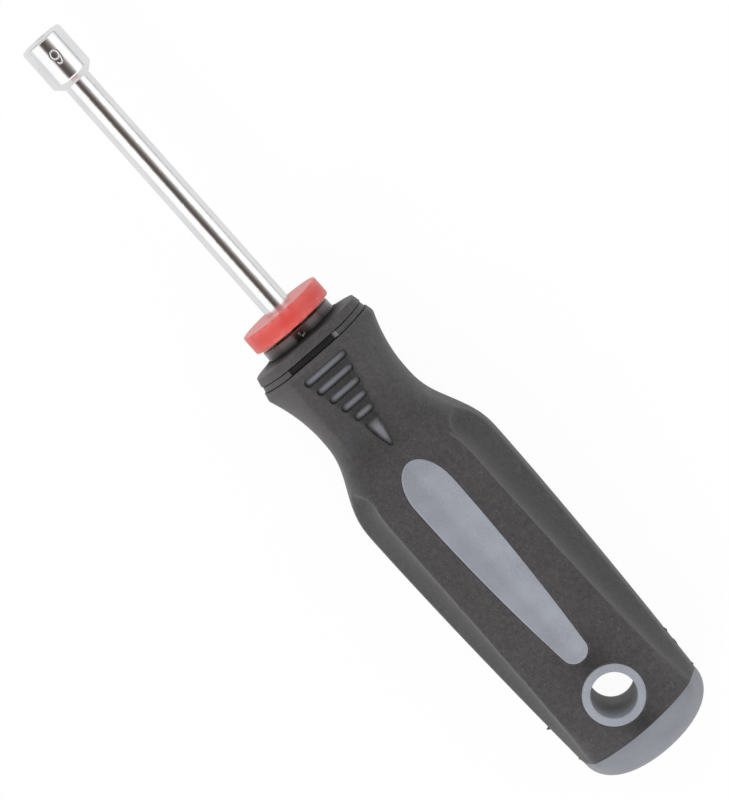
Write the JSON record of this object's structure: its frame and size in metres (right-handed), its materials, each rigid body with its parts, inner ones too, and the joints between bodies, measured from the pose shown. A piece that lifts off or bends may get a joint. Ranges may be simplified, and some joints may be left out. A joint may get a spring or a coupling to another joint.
{
  "type": "nut driver",
  "caption": "Hand nut driver: chromed hollow shaft with a hexagon socket, colour ring, moulded core and a waisted rubber grip with a hanging hole.",
  "frame": {"origin": "on the surface that the tool lies on, below the middle of its overall length", "axes": "+X along the drive axis towards the butt, so the socket opens towards -X; +Z out of the face with the inlay"},
  "size_m": [0.2014, 0.0358, 0.0308],
  "materials": {
    "socket_chrome": "polished chrome plate",
    "shaft_chrome": "polished chrome plate",
    "ring_red": "satin",
    "bolster_black": "gloss",
    "core_grey": "satin",
    "grip_rubber": "matte, fine grain"
  },
  "bodies": {
    "root": {"drive_socket": "socket_chrome", "hollow_shaft": "shaft_chrome", "size_ring": "ring_red", "nose_bolster": "bolster_black", "handle_core": "core_grey", "rubber_grip": "grip_rubber"}
  },
  "joints": []
}
